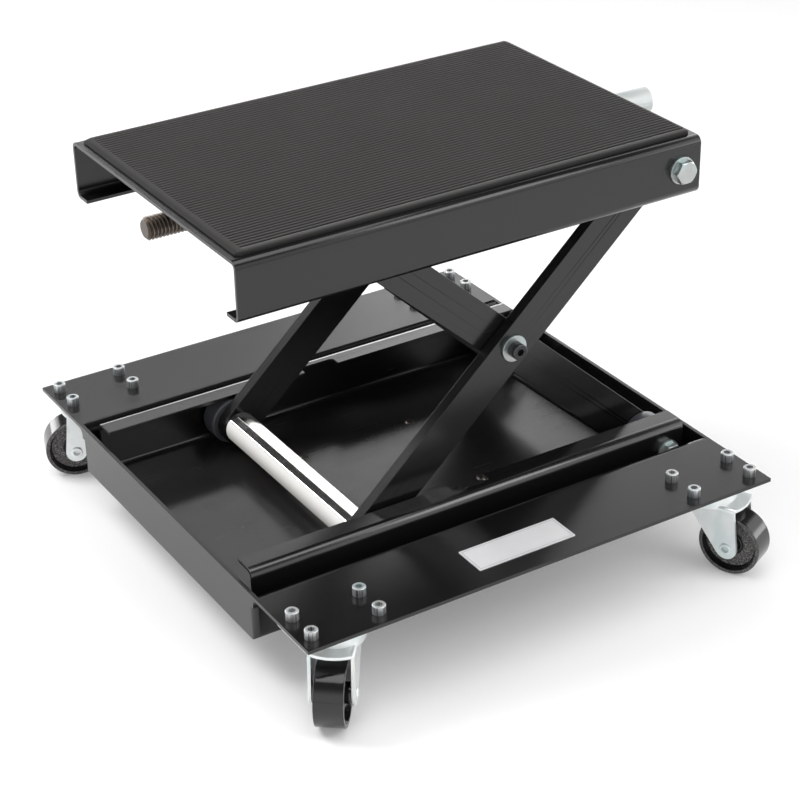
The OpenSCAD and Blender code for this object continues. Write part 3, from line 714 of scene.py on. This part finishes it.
def wheel_outline(outer):
    """Closed outline of (radius, y), axle along Y: rounded rim, sunk disc, longer hub."""
    half, hub_half, hub, bore = HALF_WIDTH, HUB_HALF_LENGTH, HUB_RADIUS, BORE_RADIUS
    disc_from, disc_to = hub + 1.7, outer - 6.0
    # from the bore out to the middle of the tread
    side = [(bore, hub_half - 0.4), (bore + 0.4, hub_half)]
    side += arc(hub - 0.6, hub_half - 0.6, 0.6, 90, 0, 4)
    side += [(hub, hub_half - 2.4), (hub + 0.2, half - 3.6)]
    side += arc(hub + 1.4, half - 3.8, 1.2, 180, 270, 5)
    for k in range(1, DISC_STEPS):
        side.append((disc_from + (disc_to - disc_from) * k / DISC_STEPS,
                     half - 5.0 - 0.3 * math.sin(math.pi * k / DISC_STEPS)))
    side += arc(outer - 5.8, half - 3.8, 1.2, 270, 335, 4)
    side += [(outer - 4.1, half - 2.2), (outer - 3.4, half - 0.5)]
    side += arc(outer - 2.9, half - 0.45, 0.45, 160, 90, 3)
    side += [(outer - 1.8, half + 0.02)]
    side += arc(outer - 0.7, half - 0.7, 0.7, 88, 2, 6)
    side += [(outer, half - 1.8), (outer, half * 0.45), (outer, 0.0)]
    return side + [(r, -y) for r, y in reversed(side[:-1])]


def build_wheel(which, spin_axis):
    node = "castor_wheel_" + which
    lo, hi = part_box(node)
    outer = (hi.z - lo.z) / 2 / MM
    outline = wheel_outline(outer)
    seg, count = WHEEL_SEGMENTS, len(outline)
    rng = np.random.default_rng(sum(map(ord, which)))
    verts, faces, disc = [], [], []
    for r, y in outline:
        rough = 9.4 < r < outer - 5.2 and abs(y) < 7.9
        rim = r > outer - 3.2 and abs(y) > 10.6
        for s in range(seg):
            angle = 2 * math.pi * s / seg
            dy = (rng.random() - 0.5) * CAST_JITTER * (1 if y > 0 else -1) if rough else 0.0
            verts.append((r * math.cos(angle) * MM, (y + dy) * MM, r * math.sin(angle) * MM))
            disc.append(1.0 if rough else 0.35 if rim else 0.0)
    for i in range(count):
        k = (i + 1) % count
        for s in range(seg):
            t = (s + 1) % seg
            faces.append((i * seg + s, k * seg + s, k * seg + t, i * seg + t))
    obj = add_piece("cast_wheel_" + which, verts, faces, "cast_wheel", sharp_deg=42)
    attribute = obj.data.attributes.new("disc", "FLOAT", "POINT")
    attribute.data.foreach_set("value", np.array(disc, np.float32))
    face_outward(obj)
    axle = Vector(spin_axis).normalized()
    up = Vector((0, 0, 1))
    obj.matrix_world = axes_matrix(axle.cross(up).normalized(), axle, up, (lo + hi) / 2)
    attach(obj, "wheel_" + which)
    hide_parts(node)


# ---------------------------------------------------------------- stage, light, camera

FLOOR_HALF = 9.0
FLOOR_GLOW = 0.13                  # stands in for bounce from the rest of a white room

# name, place, target, size and height of the rectangle, power in watts
LIGHTS = (
    ("key", (0.99, -1.32, 1.60), (0, 0, 0.17), 1.2, 1.0, 15),
    ("over", (-0.10, -0.30, 2.3), (0, 0, 0), 1.6, 1.6, 22),
    ("back", (-1.0, 0.9, 1.7), (0, 0, 0.05), 0.95, 0.95, 27),
)

# camera, as seen from the middle of the dolly frame's top
CAMERA_HEADING = -31.331           # degrees about Z, 0 looks along +Y
CAMERA_ELEVATION = 29.081
CAMERA_ROLL = 1.243
CAMERA_RIGHT, CAMERA_UP, CAMERA_BACK = 7.825, 25.638, 1739.28    # mm along its own axes


def stage_floor():
    """Pale seamless floor that gives off a little light."""
    t = new_shader("floor")
    col = t.mix(t.noise(scale=3, detail=3, rough=0.5), (0.80, 0.80, 0.80), (0.83, 0.83, 0.83))
    material = t.surface(Base_Color=col, Roughness=0.75, Specular_IOR_Level=0.2,
                         Emission_Color=(1.0, 1.0, 1.0, 1.0), Emission_Strength=FLOOR_GLOW)
    mesh = bpy.data.meshes.new("floor")
    s = FLOOR_HALF
    mesh.from_pydata([(-s, -s, 0), (s, -s, 0), (s, s, 0), (-s, s, 0)], [], [(0, 1, 2, 3)])
    mesh.materials.append(material)
    obj = bpy.data.objects.new("floor", mesh)
    bpy.context.scene.collection.objects.link(obj)


def studio_world():
    """Dark studio with a bright low backdrop beyond the object and a soft front.
    away and aside are the parts of a direction away from the camera and to its right."""
    world = bpy.data.worlds.new("studio")
    bpy.context.scene.world = world
    t = Shader(world, "ShaderNodeOutputWorld", "Generated")
    x, y, z = t.xyz()
    away_x, away_y = 0.52, 0.854
    flat = t.unary("SQRT", t.math("MAXIMUM", t.sub(1.0, t.mul(z, z)), 0.001))
    away = t.math("DIVIDE", t.add(t.mul(x, away_x), t.mul(y, away_y)), flat)
    aside = t.math("DIVIDE", t.sub(t.mul(x, away_y), t.mul(y, away_x)), flat)
    # upper band, dimmer to the right
    side = t.math("MAXIMUM", t.math("MINIMUM", aside, 0.15), -0.02)
    glow = t.mul(t.ramp(z, off=0.565, on=0.505),
                 t.ramp(side, off=-0.02, on=0.15, low=2.7, high=1.55, smooth=False))
    # dark strip within it, left of the middle
    notch = t.mul(t.ramp(z, off=0.487, on=0.468), t.ramp(z, off=0.30, on=0.34))
    notch = t.mul(notch, t.ramp(aside, off=-0.02, on=-0.055))
    glow = t.mul(glow, t.sub(1.0, notch))
    # brighter near the horizon, dark at the far left
    glow = t.add(glow, t.ramp(z, off=0.28, on=0.16, low=0.0, high=2.8))
    glow = t.mul(glow, t.ramp(aside, off=-0.98, on=-0.83, low=0.02, high=1.0))
    beyond = t.ramp(away, off=-0.3, on=0.35)
    front = t.ramp(z, off=0.75, on=0.35, low=0.10, high=1.15)
    level = t.add(t.mul(glow, beyond), 0.05)
    level = t.add(level, t.mul(front, t.sub(1.0, beyond)))
    background = t.node("ShaderNodeBackground", Color=(1.0, 1.0, 1.0, 1.0), Strength=level)
    t.tree.links.new(background.outputs[0], t.out.inputs["Surface"])


def area_light(name, place, target, size, height, power):
    light = bpy.data.lights.new(name, "AREA")
    light.shape = "RECTANGLE"
    light.size = size
    light.size_y = height
    light.energy = power
    obj = bpy.data.objects.new(name, light)
    bpy.context.scene.collection.objects.link(obj)
    obj.location = place
    obj.rotation_mode = "QUATERNION"
    obj.rotation_quaternion = (Vector(target) - Vector(place)).to_track_quat("-Z", "Y")


def add_camera():
    heading, elevation, roll = map(
        math.radians, (CAMERA_HEADING, CAMERA_ELEVATION, CAMERA_ROLL))
    back = Vector((math.sin(heading) * math.cos(elevation),
                   -math.cos(heading) * math.cos(elevation), math.sin(elevation)))
    level_right = Vector((math.cos(heading), math.sin(heading), 0))
    level_up = back.cross(level_right)
    right = math.cos(roll) * level_right - math.sin(roll) * level_up
    up = math.sin(roll) * level_right + math.cos(roll) * level_up
    lo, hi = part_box("dolly_frame")
    place = ((CAMERA_RIGHT * right + CAMERA_UP * up + CAMERA_BACK * back) * MM
             + Vector(((lo.x + hi.x) / 2, (lo.y + hi.y) / 2, hi.z)))
    cam = bpy.data.cameras.new("camera")
    cam.lens = 94.73
    cam.sensor_width = 36
    cam.clip_start = 0.05
    cam.clip_end = 60
    obj = bpy.data.objects.new("camera", cam)
    bpy.context.scene.collection.objects.link(obj)
    obj.matrix_world = axes_matrix(right, up, back, place)
    bpy.context.scene.camera = obj


# ---------------------------------------------------------------- build

finish_cad_nodes()
ribbed_mat()
threaded_screw()
joints = {j["name"]: j for j in frame["joints"]}
for which in ("front_left", "front_right", "rear_left", "rear_right"):
    build_wheel(which, joints["wheel_" + which + "_spin"]["axis"])

stage_floor()
studio_world()
for light in LIGHTS:
    area_light(*light)
add_camera()
view = bpy.context.scene.view_settings
view.view_transform = "Standard"
view.look = "None"
view.exposure = 0.0
